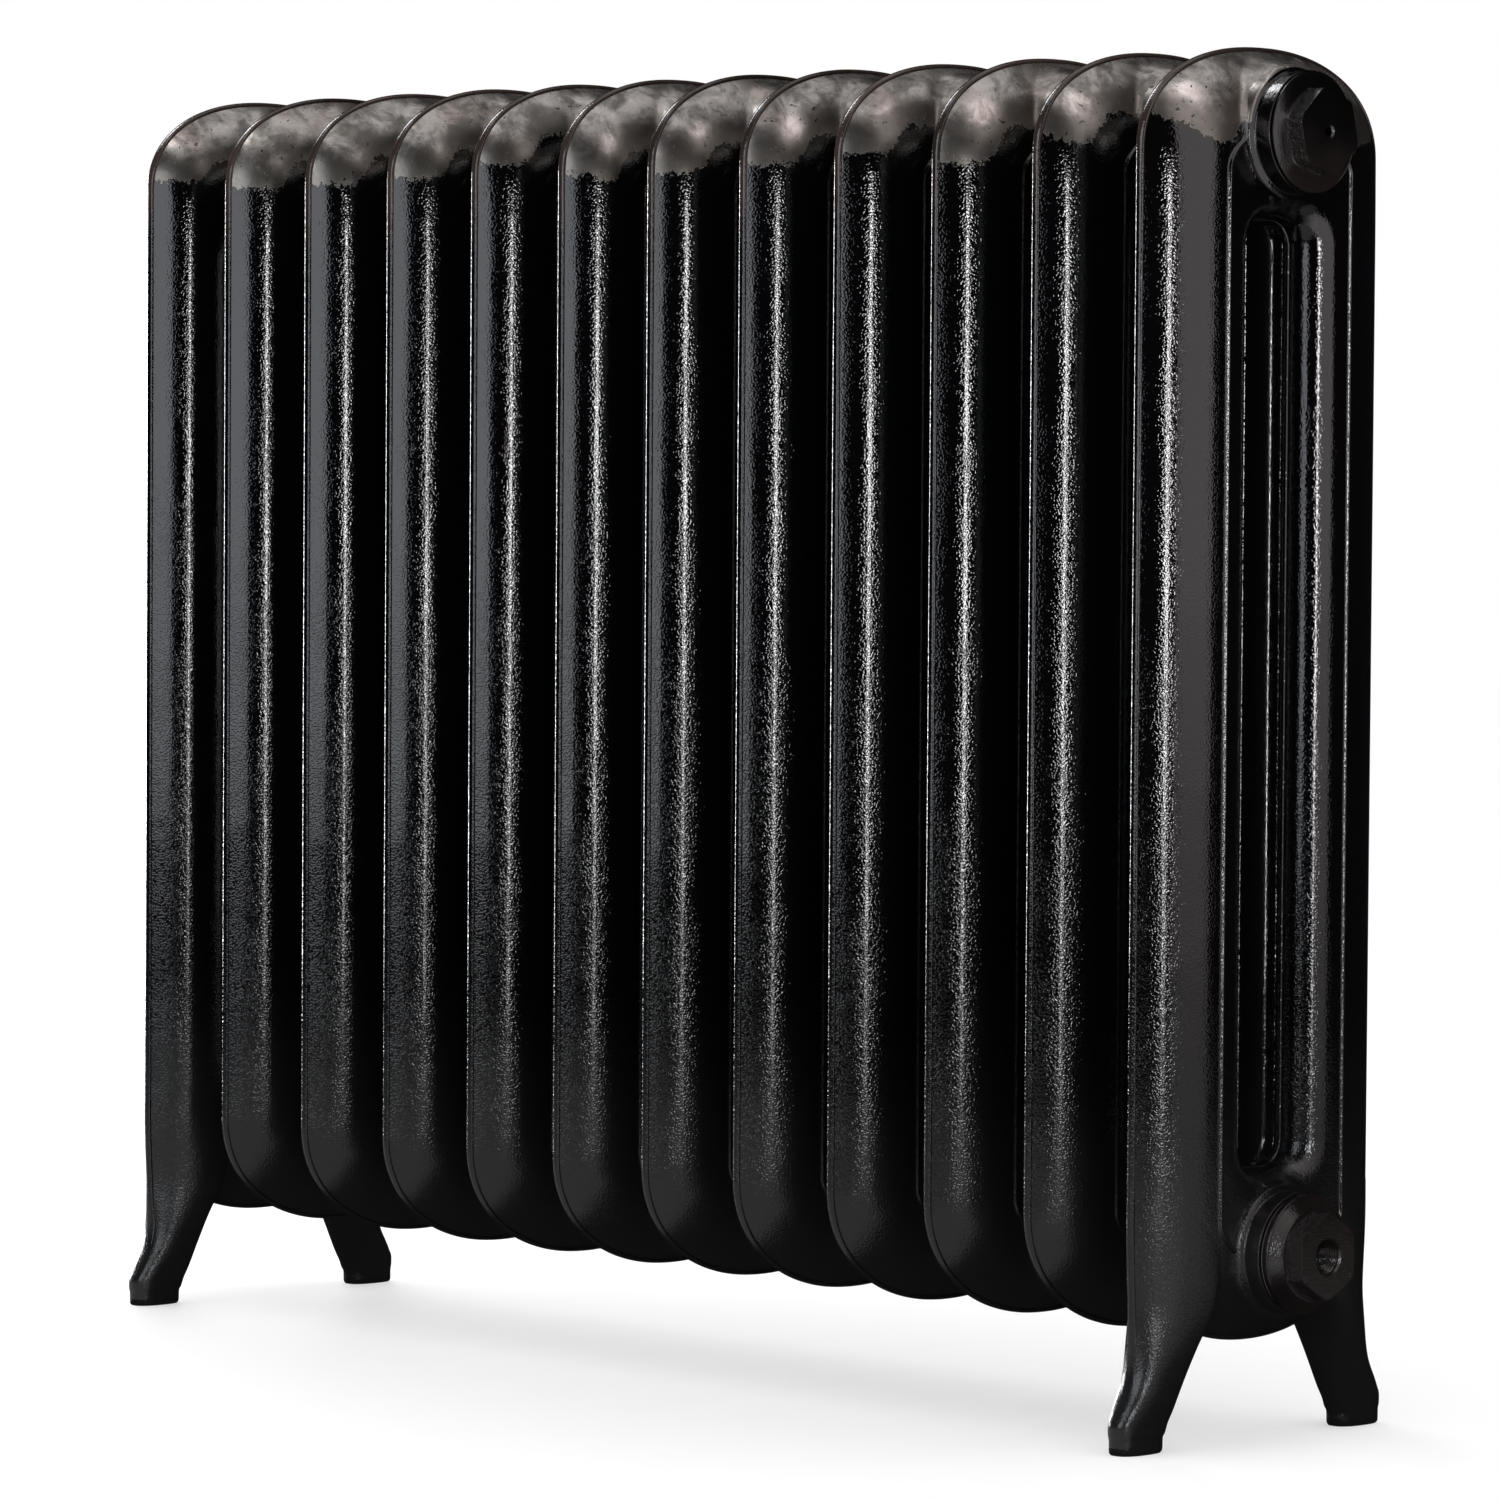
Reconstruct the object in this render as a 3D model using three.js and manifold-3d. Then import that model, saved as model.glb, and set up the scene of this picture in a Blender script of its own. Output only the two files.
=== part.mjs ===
// Cast iron column radiator, built from twelve two-column sections.
// Millimetres, +Z up. X runs along the row of sections, the front faces -Y, and the feet stand on Z = 0.
import * as THREE from "three";
import { mergeVertices } from "three/addons/utils/BufferGeometryUtils.js";
import Module from "manifold-3d";

const wasm = await Module();
wasm.setup();

// Driving dimensions.
const SECTION_COUNT = 12;
const PITCH = 76.5; // centre to centre of neighbouring sections
const GAP = 0.3; // clearance between pieces that touch
const HEIGHT = 750;
const HUB_SPAN = 600; // between the top and the bottom connections
const TOP_HUB_Z = 703.5;
const BOTTOM_HUB_Z = TOP_HUB_Z - HUB_SPAN;

// Section outline, seen from the end: straight sides with a superelliptic crown and belly.
const HALF_DEPTH = 93.5;
const CROWN_RISE = 58;
const CROWN_POWER = 2.2;
const BELLY_Z = 54;
const BELLY_RISE = 68;
const BELLY_POWER = 2.12;
const ARC_STEPS = 6;

// Window between the two columns.
const WINDOW_HALF_WIDTH = 22;
const WINDOW_TOP_Z = 657;
const WINDOW_BOTTOM_Z = 148;
const WINDOW_CORNER = 14;
const WINDOW_POWER = 3;

// Column cross-section: a round flank from the seam to the ridge, another from the ridge to the window fin.
const RIDGE_HALF_WIDTH = 24;
const SEAM_HALF_WIDTH = 1.5;
const FIN_HALF_WIDTH = 2.5;
const OUTER_FLANK = 44;
const INNER_FLANK = 25;
const OUTER_STEPS = 3;
const INNER_STEPS = 2;

// Waterway cast inside each section, as distances from the outer edge or the window edge and half widths.
const WATERWAY_EDGE = 10;
const WATERWAY_EDGE_HALF_WIDTH = 6.5;
const WATERWAY_SHOULDER = 28;
const WATERWAY_INNER_SHOULDER = 20;
const WATERWAY_HALF_WIDTH = 17.5;

// Hub bosses, bored for the nipples.
const BOSS_FACE = PITCH / 2 - GAP / 2;
const BOSS_RADIUS = 33;
const NECK_RADIUS = 37.5;
const NECK_REACH = 26; // half length of the wide neck
const SHOULDER_REACH = 30;
const BORE_RADIUS = 21.4;
const BOSS_SIDES = 12;
const BORE_SIDES = 10;

// Nipples.
const NIPPLE_RADIUS = BORE_RADIUS - GAP;
const NIPPLE_BORE = 16;
const NIPPLE_LENGTH = 30;

// End fittings: a threaded spigot, a flange on a gasket, and a hexagon.
const SPIGOT_LENGTH = 15;
const SPIGOT_RADIUS = BORE_RADIUS * Math.cos(Math.PI / BORE_SIDES) - GAP; // clears the flats of the bore
const GASKET_THICKNESS = 1;
const GASKET_RADIUS = 31.5;
const FLANGE_RADIUS = 32.5;
const FLANGE_CHAMFER = 1.5;
const HEX_CIRCUMRADIUS = 23.9;
const PLUG_FLANGE = 3;
const PLUG_REACH = 51.5; // section centre to the plug's hexagon face
const BUSH_FLANGE = 5;
const BUSH_SHOULDER_RADIUS = 26;
const BUSH_SHOULDER = 9;
const BUSH_REACH = 58.4;
const HALF_INCH_TAP_RADIUS = 9.3;
const VENT_TAP_RADIUS = 4.25;
const FITTING_SIDES = 18;

// Legs on the end sections: [height, outer edge, inner edge, half width across X], edges measured from Y = 0.
const LEG_RINGS = [
  [0, 102.7, 70.3, 9],
  [9, 102.7, 70.3, 9],
  [9.6, 103.8, 68.5, 9.6],
  [15, 104, 66, 10],
  [22, 101, 62, 11],
  [37, 92.8, 55, 13],
  [55, 90.2, 48, 16],
  [74, 90, 40, 19],
  [104, 91, 44, 20],
  [124, 90, 50, 17],
];
const LEG_SIDES = 12;
const LEG_POWER = 2.6;

const PAINT = { color: 0x0b0b0d, roughness: 0.32, metalness: 0.35 };
const MACHINED_IRON = { color: 0x5a5c5e, roughness: 0.45, metalness: 0.9 };
const FIBRE = { color: 0x1f1c1a, roughness: 0.85, metalness: 0.0 };

// A signed power, so that a superellipse can be followed through all four quadrants.
const signedPower = (value, power) => Math.sign(value) * Math.abs(value) ** power;

// A point of a superelliptic arc at angle t, with its half width, its rise and the height of its springing line.
function arcPoint(t, halfWidth, springing, rise, power) {
  const y = halfWidth * signedPower(Math.cos(t), 2 / power);
  const z = springing + rise * signedPower(Math.sin(t), 2 / power);
  return new THREE.Vector2(y, z);
}

// The stations of a section: pairs of an outline point and the window point it faces, once round the loop.
function sectionStations(steps) {
  const stations = [];
  for (let i = 0; i <= steps; i++) {
    const t = (Math.PI * i) / steps;
    stations.push([
      arcPoint(t, HALF_DEPTH, HEIGHT - CROWN_RISE, CROWN_RISE, CROWN_POWER),
      arcPoint(t, WINDOW_HALF_WIDTH, WINDOW_TOP_Z - WINDOW_CORNER, WINDOW_CORNER, WINDOW_POWER),
    ]);
  }
  for (let i = 0; i <= steps; i++) {
    const t = Math.PI + (Math.PI * i) / steps;
    stations.push([
      arcPoint(t, HALF_DEPTH, BELLY_Z + BELLY_RISE, BELLY_RISE, BELLY_POWER),
      arcPoint(t, WINDOW_HALF_WIDTH, WINDOW_BOTTOM_Z + WINDOW_CORNER, WINDOW_CORNER, WINDOW_POWER),
    ]);
  }
  return stations;
}

// Closed surface made of rings of equal length; it also closes end to end, or gets a cap on each end.
function ringSurface(rings, closedLoop) {
  const size = rings[0].length;
  const positions = rings.flat().flatMap((p) => [p.x, p.y, p.z]);
  const index = [];
  const last = closedLoop ? rings.length : rings.length - 1;
  for (let i = 0; i < last; i++) {
    const here = i * size;
    const next = ((i + 1) % rings.length) * size;
    for (let k = 0; k < size; k++) {
      const m = (k + 1) % size;
      index.push(here + k, here + m, next + m, here + k, next + m, next + k);
    }
  }
  if (!closedLoop) {
    const top = last * size;
    for (let k = 1; k < size - 1; k++) {
      index.push(0, k + 1, k, top, top + k, top + k + 1);
    }
  }
  const geometry = new THREE.BufferGeometry();
  geometry.setAttribute("position", new THREE.Float32BufferAttribute(positions, 3));
  geometry.setIndex(index);
  return geometry;
}

// A manifold solid from a closed geometry, turned right side out.
function solid(geometry) {
  const bare = geometry.clone();
  bare.deleteAttribute("normal");
  bare.deleteAttribute("uv");
  const merged = mergeVertices(bare, 1e-4);
  const vertProperties = new Float32Array(merged.attributes.position.array);
  const triVerts = new Uint32Array(merged.index.array);
  const made = new wasm.Manifold(new wasm.Mesh({ numProp: 3, vertProperties, triVerts }));
  if (made.volume() > 0) return made;
  for (let i = 0; i < triVerts.length; i += 3) {
    [triVerts[i + 1], triVerts[i + 2]] = [triVerts[i + 2], triVerts[i + 1]];
  }
  return new wasm.Manifold(new wasm.Mesh({ numProp: 3, vertProperties, triVerts }));
}

// The geometry of a manifold solid, flat shaded.
function geometryOf(made) {
  const mesh = made.getMesh();
  const geometry = new THREE.BufferGeometry();
  geometry.setAttribute("position", new THREE.BufferAttribute(mesh.vertProperties, 3));
  geometry.setIndex(new THREE.BufferAttribute(mesh.triVerts, 1));
  const flat = geometry.toNonIndexed();
  flat.computeVertexNormals();
  return flat;
}

// A ring of points across a station: profile gives [distance along the station's line, half width].
function stationRing([outer, inner], profile) {
  const direction = inner.clone().sub(outer);
  const length = direction.length();
  direction.divideScalar(length);
  const place = ([distance, x]) => {
    const p = outer.clone().addScaledVector(direction, distance);
    return new THREE.Vector3(x, p.x, p.y);
  };
  const points = profile(length);
  const far = [...points].reverse().map(([distance, x]) => [distance, -x]);
  return [...points, ...far].map(place);
}

// Across a column: an arc of a circle from the seam up to the level ridge, then a quarter round down to the fin.
function columnProfile(length) {
  const points = [];
  const rise = RIDGE_HALF_WIDTH - SEAM_HALF_WIDTH;
  const radius = (OUTER_FLANK ** 2 + rise ** 2) / (2 * rise);
  const sweep = Math.asin(OUTER_FLANK / radius);
  for (let k = 0; k <= OUTER_STEPS; k++) {
    const a = sweep * (1 - k / OUTER_STEPS);
    points.push([OUTER_FLANK - radius * Math.sin(a), RIDGE_HALF_WIDTH - radius * (1 - Math.cos(a))]);
  }
  for (let k = INNER_STEPS; k >= 0; k--) {
    const a = (Math.PI / 2) * (k / INNER_STEPS);
    const fall = (RIDGE_HALF_WIDTH - FIN_HALF_WIDTH) * Math.sin(a);
    points.push([length - INNER_FLANK * (1 - Math.cos(a)), FIN_HALF_WIDTH + fall]);
  }
  return points;
}

function waterwayProfile(length) {
  return [
    [WATERWAY_EDGE, WATERWAY_EDGE_HALF_WIDTH],
    [WATERWAY_SHOULDER, WATERWAY_HALF_WIDTH],
    [length - WATERWAY_INNER_SHOULDER, WATERWAY_HALF_WIDTH],
    [length - WATERWAY_EDGE, WATERWAY_EDGE_HALF_WIDTH],
  ];
}

// A turned piece whose axis lies along X at height z: points are [radius, x], from the axis back to the axis.
function turned(points, sides, z = 0) {
  const profile = points.map(([radius, x]) => new THREE.Vector2(radius, x));
  return new THREE.LatheGeometry(profile, sides).rotateZ(-Math.PI / 2).translate(0, 0, z);
}

const rod = (radius, from, to, sides, z) =>
  turned([[0, from], [radius, from], [radius, to], [0, to]], sides, z);

// The boss through a section: a wide neck that steps down to the machined joint faces.
function boss(z) {
  const half = [
    [NECK_RADIUS, NECK_REACH],
    [BOSS_RADIUS, SHOULDER_REACH],
    [BOSS_RADIUS, BOSS_FACE],
  ];
  const mirrored = [...half].reverse().map(([radius, x]) => [radius, -x]);
  return turned([[0, -BOSS_FACE], ...mirrored, ...half, [0, BOSS_FACE]], BOSS_SIDES, z);
}

// One leg, lofted through rounded rings; side is -1 for the front and +1 for the rear.
function leg(side) {
  const rings = LEG_RINGS.map(([z, outer, inner, halfWidth]) => {
    const middle = (outer + inner) / 2;
    const reach = (outer - inner) / 2;
    return Array.from({ length: LEG_SIDES }, (_, k) => {
      const t = (2 * Math.PI * k) / LEG_SIDES;
      const x = halfWidth * signedPower(Math.cos(t), 2 / LEG_POWER);
      const y = middle + reach * signedPower(Math.sin(t), 2 / LEG_POWER);
      return new THREE.Vector3(x, side * y, z);
    });
  });
  return ringSurface(rings, false);
}

// A section casting: the column body and its bosses, hollow inside, with legs on the end sections.
function sectionGeometry(withLegs) {
  const body = ringSurface(sectionStations(ARC_STEPS).map((s) => stationRing(s, columnProfile)), true);
  const water = ringSurface(sectionStations(ARC_STEPS / 2).map((s) => stationRing(s, waterwayProfile)), true);
  let casting = solid(body);
  if (withLegs) casting = casting.add(solid(leg(-1))).add(solid(leg(1)));
  for (const z of [TOP_HUB_Z, BOTTOM_HUB_Z]) casting = casting.add(solid(boss(z)));
  casting = casting.subtract(solid(water));
  for (const z of [TOP_HUB_Z, BOTTOM_HUB_Z]) {
    casting = casting.subtract(solid(rod(BORE_RADIUS, -PITCH, PITCH, BORE_SIDES, z)));
  }
  return geometryOf(casting);
}

// A closed ring with a square cross-section, its axis along X.
function ringGeometry(outer, inner, from, to, sides) {
  return turned([[inner, from], [outer, from], [outer, to], [inner, to], [inner, from]], sides);
}

// A hexagonal prism along X with a corner at the top, turned about its axis by twist.
function hexagon(from, to, twist) {
  const corners = Array.from({ length: 6 }, (_, k) => {
    const t = Math.PI / 2 + twist + (k * Math.PI) / 3;
    return new THREE.Vector2(HEX_CIRCUMRADIUS * Math.cos(t), HEX_CIRCUMRADIUS * Math.sin(t));
  });
  const prism = new THREE.ExtrudeGeometry(new THREE.Shape(corners), { depth: to - from, bevelEnabled: false });
  // The shape's own X and Y become the part's Y and Z, and its depth runs along +X.
  const turn = new THREE.Matrix4().makeBasis(
    new THREE.Vector3(0, 1, 0),
    new THREE.Vector3(0, 0, 1),
    new THREE.Vector3(1, 0, 0),
  );
  return prism.applyMatrix4(turn).translate(from, 0, 0);
}

// Distance from a section's centre plane to the face where an end fitting's flange begins.
const SEAT = BOSS_FACE + GAP + GASKET_THICKNESS + GAP;

// The end plug: spigot, thin flange and hexagon, with a small tapped hole for an air vent where one is asked for.
function plugGeometry(vented, twist) {
  const face = SEAT + PLUG_FLANGE;
  const turning = turned(
    [
      [0, SEAT - SPIGOT_LENGTH],
      [SPIGOT_RADIUS, SEAT - SPIGOT_LENGTH],
      [SPIGOT_RADIUS, SEAT],
      [FLANGE_RADIUS, SEAT],
      [FLANGE_RADIUS, face - FLANGE_CHAMFER],
      [FLANGE_RADIUS - FLANGE_CHAMFER, face],
      [0, face],
    ],
    FITTING_SIDES,
  );
  let plug = solid(turning).add(solid(hexagon(face - 1, PLUG_REACH, twist)));
  if (vented) plug = plug.subtract(solid(rod(VENT_TAP_RADIUS, 0, PITCH, BORE_SIDES)));
  return geometryOf(plug);
}

// The end bush: spigot, flange, conical shoulder and hexagon, tapped right through for a pipe or valve tail.
function bushGeometry(twist) {
  const face = SEAT + BUSH_FLANGE;
  const turning = turned(
    [
      [0, SEAT - SPIGOT_LENGTH],
      [SPIGOT_RADIUS, SEAT - SPIGOT_LENGTH],
      [SPIGOT_RADIUS, SEAT],
      [FLANGE_RADIUS, SEAT],
      [FLANGE_RADIUS, face - FLANGE_CHAMFER],
      [FLANGE_RADIUS - FLANGE_CHAMFER, face],
      [BUSH_SHOULDER_RADIUS, SEAT + BUSH_SHOULDER],
      [0, SEAT + BUSH_SHOULDER],
    ],
    FITTING_SIDES,
  );
  const bush = solid(turning).add(solid(hexagon(face, BUSH_REACH, twist)));
  return geometryOf(bush.subtract(solid(rod(HALF_INCH_TAP_RADIUS, 0, PITCH, BORE_SIDES))));
}

function named(name, geometry, finish) {
  const mesh = new THREE.Mesh(geometry, new THREE.MeshStandardMaterial(finish));
  mesh.name = name;
  return mesh;
}

const radiator = new THREE.Group();
const number = (n) => String(n).padStart(2, "0");
const sectionX = (n) => (n - 1 - (SECTION_COUNT - 1) / 2) * PITCH;

const middleSection = sectionGeometry(false);
const endSection = sectionGeometry(true);
for (let n = 1; n <= SECTION_COUNT; n++) {
  const isEnd = n === 1 || n === SECTION_COUNT;
  const section = named("section_" + number(n), isEnd ? endSection : middleSection, PAINT);
  section.position.x = sectionX(n);
  radiator.add(section);
}

const half = NIPPLE_LENGTH / 2;
const nippleShape = ringGeometry(NIPPLE_RADIUS, NIPPLE_BORE, -half, half, BORE_SIDES);
for (let n = 1; n < SECTION_COUNT; n++) {
  for (const [level, z] of [["top", TOP_HUB_Z], ["bottom", BOTTOM_HUB_Z]]) {
    const name = level + "_nipple_" + number(n) + "_" + number(n + 1);
    const nipple = named(name, nippleShape, MACHINED_IRON);
    nipple.position.set(sectionX(n) + PITCH / 2, 0, z);
    radiator.add(nipple);
  }
}

// Everything at one end hangs in a group at the end section, turned round for the left end.
const seatStart = BOSS_FACE + GAP;
const gasketShape = ringGeometry(
  GASKET_RADIUS, BORE_RADIUS + GAP, seatStart, seatStart + GASKET_THICKNESS, FITTING_SIDES,
);
const PLUG_TWIST = THREE.MathUtils.degToRad(13);
for (const [side, n, turn] of [["left", 1, Math.PI], ["right", SECTION_COUNT, 0]]) {
  const end = new THREE.Group();
  end.position.x = sectionX(n);
  end.rotation.z = turn;
  const plugName = side === "right" ? "right_top_vent_plug" : "left_top_plug";
  const plug = named(plugName, plugGeometry(side === "right", PLUG_TWIST), PAINT);
  const bush = named(side + "_bottom_bush", bushGeometry(0), PAINT);
  const topGasket = named(side + "_top_gasket", gasketShape, FIBRE);
  const bottomGasket = named(side + "_bottom_gasket", gasketShape, FIBRE);
  plug.position.z = topGasket.position.z = TOP_HUB_Z;
  bush.position.z = bottomGasket.position.z = BOTTOM_HUB_Z;
  end.add(plug, bush, topGasket, bottomGasket);
  radiator.add(end);
}

export default radiator;
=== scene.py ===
"""Cast iron column radiator: fine surfaces, finishes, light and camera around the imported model."""
import math

import bmesh
import bpy
import numpy as np
from bpy.props import FloatProperty, FloatVectorProperty, PointerProperty
from mathutils import Matrix, Vector


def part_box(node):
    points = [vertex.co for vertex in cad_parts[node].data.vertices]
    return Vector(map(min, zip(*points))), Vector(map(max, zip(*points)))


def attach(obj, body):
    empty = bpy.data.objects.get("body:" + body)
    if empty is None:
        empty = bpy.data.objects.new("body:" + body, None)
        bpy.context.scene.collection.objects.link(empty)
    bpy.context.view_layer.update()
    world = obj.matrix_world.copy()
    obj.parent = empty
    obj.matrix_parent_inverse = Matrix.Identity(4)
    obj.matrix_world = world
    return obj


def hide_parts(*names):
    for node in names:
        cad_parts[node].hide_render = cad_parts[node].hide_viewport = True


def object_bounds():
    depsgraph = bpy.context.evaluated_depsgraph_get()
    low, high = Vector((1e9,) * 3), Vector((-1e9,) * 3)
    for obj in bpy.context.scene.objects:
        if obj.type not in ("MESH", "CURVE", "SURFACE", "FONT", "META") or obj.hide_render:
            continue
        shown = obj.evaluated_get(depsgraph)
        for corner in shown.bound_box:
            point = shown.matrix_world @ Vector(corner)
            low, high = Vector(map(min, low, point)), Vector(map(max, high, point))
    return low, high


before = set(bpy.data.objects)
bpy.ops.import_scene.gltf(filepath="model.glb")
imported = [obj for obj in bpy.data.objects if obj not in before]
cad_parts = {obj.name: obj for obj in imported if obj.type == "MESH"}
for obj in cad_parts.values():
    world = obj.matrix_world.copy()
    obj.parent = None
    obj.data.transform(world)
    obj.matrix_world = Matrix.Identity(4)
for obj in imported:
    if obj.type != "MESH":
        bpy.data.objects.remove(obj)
CAD_BOX = [list(corner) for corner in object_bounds()]

bl_info = {
    "name": "Column radiator",
    "version": (1, 0, 0),
    "blender": (4, 5, 0),
    "location": "3D View > Sidebar > Radiator",
    "description": "Builds the castings, joints and end fittings of a two-column radiator",
    "category": "Add Mesh",
}

MM = 0.001


def middle(node):
    """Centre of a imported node's box."""
    low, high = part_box(node)
    return (low + high) / 2


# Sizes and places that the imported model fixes, in metres.
SECTIONS = sorted(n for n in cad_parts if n.startswith("section_"))
END_SECTIONS = (SECTIONS[0], SECTIONS[-1])
SECTION_X = [middle(n).x for n in SECTIONS]
PLAIN_LOW, PLAIN_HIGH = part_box(SECTIONS[5])
BOSS_FACE = (PLAIN_HIGH.x - PLAIN_LOW.x) / 2
HALF_DEPTH = PLAIN_HIGH.y
BELLY_Z = PLAIN_LOW.z
TOP_Z = PLAIN_HIGH.z
HUB_Z = {"top": middle("top_nipple_01_02").z, "bottom": middle("bottom_nipple_01_02").z}
END_X = SECTION_X[-1]
BOX_LOW, BOX_HIGH = (Vector(corner) for corner in CAD_BOX)

# Finer sizes of the castings, in metres.
WINDOW_HALF_WIDTH = 22 * MM
WINDOW_TOP = 657 * MM
WINDOW_BOTTOM = 148 * MM
WINDOW_CORNER = 14 * MM
RIDGE_Y = 48 * MM
RIDGE_TOP_RISE = 26 * MM
RIDGE_TOP_SPRING = 683 * MM
RIDGE_BOTTOM_DROP = 26 * MM
RIDGE_POWER = 1.8
BEAD_WIDTH = 1.25 * MM
NECK_TOP = 26 * MM
BORE_RADIUS = 21.4 * MM

INNER_FLANK_WIDTH = 22 * MM
SKIRT_SLOPE = 3.4  # fall of the skirt round a hub for each step away from it
SKIRT_TOP = 24.5 * MM
SKIRT_BLEND = 3 * MM
BORE_DEPTH = 9 * MM  # height above a section's middle where the drawn bore ends
THREAD_DEPTH = 17 * MM
HEX_RADIUS = 23.9 * MM  # circumradius of the hexagons on plugs and bushes

# Rim of the mouldings from its edge inwards: share of the half width, inset for a rim 2 mm proud.
RIM_CURVE = ((0, 0), (0.3, 0.08), (0.55, 0.27), (0.75, 0.52), (0.9, 0.80), (1, 1.15), (1, 1.6))
BEAD_STEPS = np.array([3.4, 2.4, 1.8, 1.4, 1.0, 0.6, 0.25, 0]) * MM  # grid lines beside the ridge

# Wear of the crowns: offset of the burnished edge, its slope with depth, and where it starts to climb.
WEAR_OFFSET = (-9, -4)
WEAR_SLOPE = (-0.03, 0.06)
WEAR_START = 72 * MM
LAST_WEAR = (-26 * MM, 0.45, 52 * MM)
FULLY_PAINTED = -30.0  # burnish level, in millimetres, that no wear reaches

ARC_LINES = 96  # grid lines round the crown, and as many round the belly
SIDE_LINES = 15
TURNS = 120  # grid lines round a turned piece
WELD = 1e-7


def length(name, mm, description):
    """A size property in metres with its default given in millimetres."""
    return FloatProperty(name=name, description=description, default=mm * MM, unit="LENGTH", precision=5)


def colour(name, rgb, description):
    """A linear colour property."""
    return FloatVectorProperty(name=name, description=description, default=rgb, size=3,
                               subtype="COLOR", min=0.0, max=1.0)


class RadiatorShape(bpy.types.PropertyGroup):
    """Sizes of the section castings."""
    crown_rise: length("Crown rise", 58, "Height of the curved crown above the straight sides")
    belly_rise: length("Belly rise", 68, "Height of the curved belly below the straight sides")
    ridge: length("Ridge half width", 24, "Half thickness of a column at its ridge")
    rim: length("Rim half width", 2.6, "Half width of the moulding rim round the section")
    rim_proud: length("Rim height", 2.2, "How far the rim stands out from the column")
    fin: length("Fin half width", 2.5, "Half thickness of the fin round the window")
    bead: length("Bead height", 1.4, "Height of the bead along the ridge")
    neck: length("Neck radius", 36.4, "Radius of the hub's neck at its shoulder")
    boss: length("Boss radius", 33, "Radius of the machined joint ring")


class RadiatorFinish(bpy.types.PropertyGroup):
    """Colours and wear of the finishes."""
    paint: colour("Paint", (0.0015, 0.0015, 0.0018), "Gloss black paint on the columns")
    # Painted reflection: this lighter paint colour near the floor stands in for the pale floor's reflection;
    # the rougher finish there is real roughness.
    floor_reflection_paint: colour("Dull paint", (0.0065, 0.0065, 0.0070), "Duller, rougher paint round the belly and the legs")
    rubbed: colour("Rubbed paint", (0.045, 0.031, 0.027), "Thin brownish paint at the burnished edge")
    iron_dark: colour("Dark iron", (0.13, 0.12, 0.107), "Darker patches of the burnished crowns")
    iron_light: colour("Light iron", (0.62, 0.575, 0.55), "Lighter patches of the burnished crowns")
    iron_warm: colour("Warm iron", (0.48, 0.385, 0.365), "Pinkish patches of the burnished crowns")
    pebble: length("Pebble size", 1.1, "Size of the fine grain in the paint")
    burnish: length("Burnished from", 699, "Height where the bare crown begins")


class RadiatorStage(bpy.types.PropertyGroup):
    """Camera and light."""
    azimuth: FloatProperty(name="Azimuth", description="Camera direction round the object",
                           default=math.radians(46.7105), subtype="ANGLE")
    elevation: FloatProperty(name="Elevation", description="Camera height as an angle",
                             default=math.radians(2.3826), subtype="ANGLE")
    roll: FloatProperty(name="Roll", description="Camera turn about its own axis",
                        default=math.radians(0.379), subtype="ANGLE")
    distance: length("Distance", 3898.7, "Camera to aim point")
    aim_x: length("Aim along the row", 26.0, "Aim point from the middle of the row")
    aim_z: length("Aim height", 359.0, "Aim point above the floor")
    lens: FloatProperty(name="Lens", description="Focal length on a 36 mm sensor",
                        default=160.805, min=1.0)
    strip: FloatProperty(name="Strip light", description="Radiance of the tall strip", default=30.0)
    card: FloatProperty(name="Card", description="Radiance of the grey card", default=1.5)
    front: FloatProperty(name="Front panel", description="Radiance of the front panel", default=2.9)
    left: FloatProperty(name="Left panel", description="Radiance of the left panel", default=24.0)
    high: FloatProperty(name="High left panel", description="Radiance of the high left panel", default=8.0)
    spot: FloatProperty(name="Spot", description="Radiance of the small overhead panel", default=3.0)
    floor: FloatProperty(name="Floor glow", description="Radiance of the floor as the paint sees it",
                         default=0.5)
    top: FloatProperty(name="Overhead", description="Radiance of the overhead panel", default=0.62)


# ---------------------------------------------------------------- numpy surfaces

def power_arc(t, half_width, spring, rise, power):
    """Superellipse arc: y = a |cos t|^(2/p), z = spring + b |sin t|^(2/p), signs kept. Rows of (y, z)."""
    c, s = np.cos(t), np.sin(t)
    y = half_width * np.sign(c) * np.abs(c) ** (2 / power)
    z = spring + rise * np.sign(s) * np.abs(s) ** (2 / power)
    return np.column_stack([y, z])


def evenly(points, count):
    """The polyline resampled to count points at equal steps of its arc length."""
    steps = np.linalg.norm(np.diff(points, axis=0), axis=1)
    along = np.concatenate([[0], np.cumsum(steps)])
    wanted = np.linspace(0, along[-1], count)
    return np.column_stack([np.interp(wanted, along, points[:, k]) for k in range(points.shape[1])])


def hermite(knots, values, at):
    """Smooth curve through the knots: cubic Hermite with slopes limited to three times the lesser chord."""
    knots, values = np.asarray(knots, float), np.asarray(values, float)
    chord = np.diff(values) / np.diff(knots)
    slope = np.concatenate([[chord[0]], (chord[1:] + chord[:-1]) / 2, [chord[-1]]])
    turning = chord[1:] * chord[:-1] <= 0
    slope[1:-1][turning] = 0
    least = np.minimum(np.abs(chord[1:]), np.abs(chord[:-1]))
    slope[1:-1] = np.clip(slope[1:-1], -3 * least, 3 * least)
    k = np.clip(np.searchsorted(knots, at, side="right") - 1, 0, len(chord) - 1)
    h = knots[k + 1] - knots[k]
    u = (at - knots[k]) / h
    return (values[k] * (1 + 2 * u) * (1 - u) ** 2 + slope[k] * h * u * (1 - u) ** 2
            + values[k + 1] * u * u * (3 - 2 * u) + slope[k + 1] * h * u * u * (u - 1))


def smooth_max(a, b, blend):
    """The greater of a and b, rounded over where they differ by less than blend."""
    w = np.clip(0.5 + (a - b) / (2 * blend), 0, 1)
    return b + (a - b) * w + blend * w * (1 - w)


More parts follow.
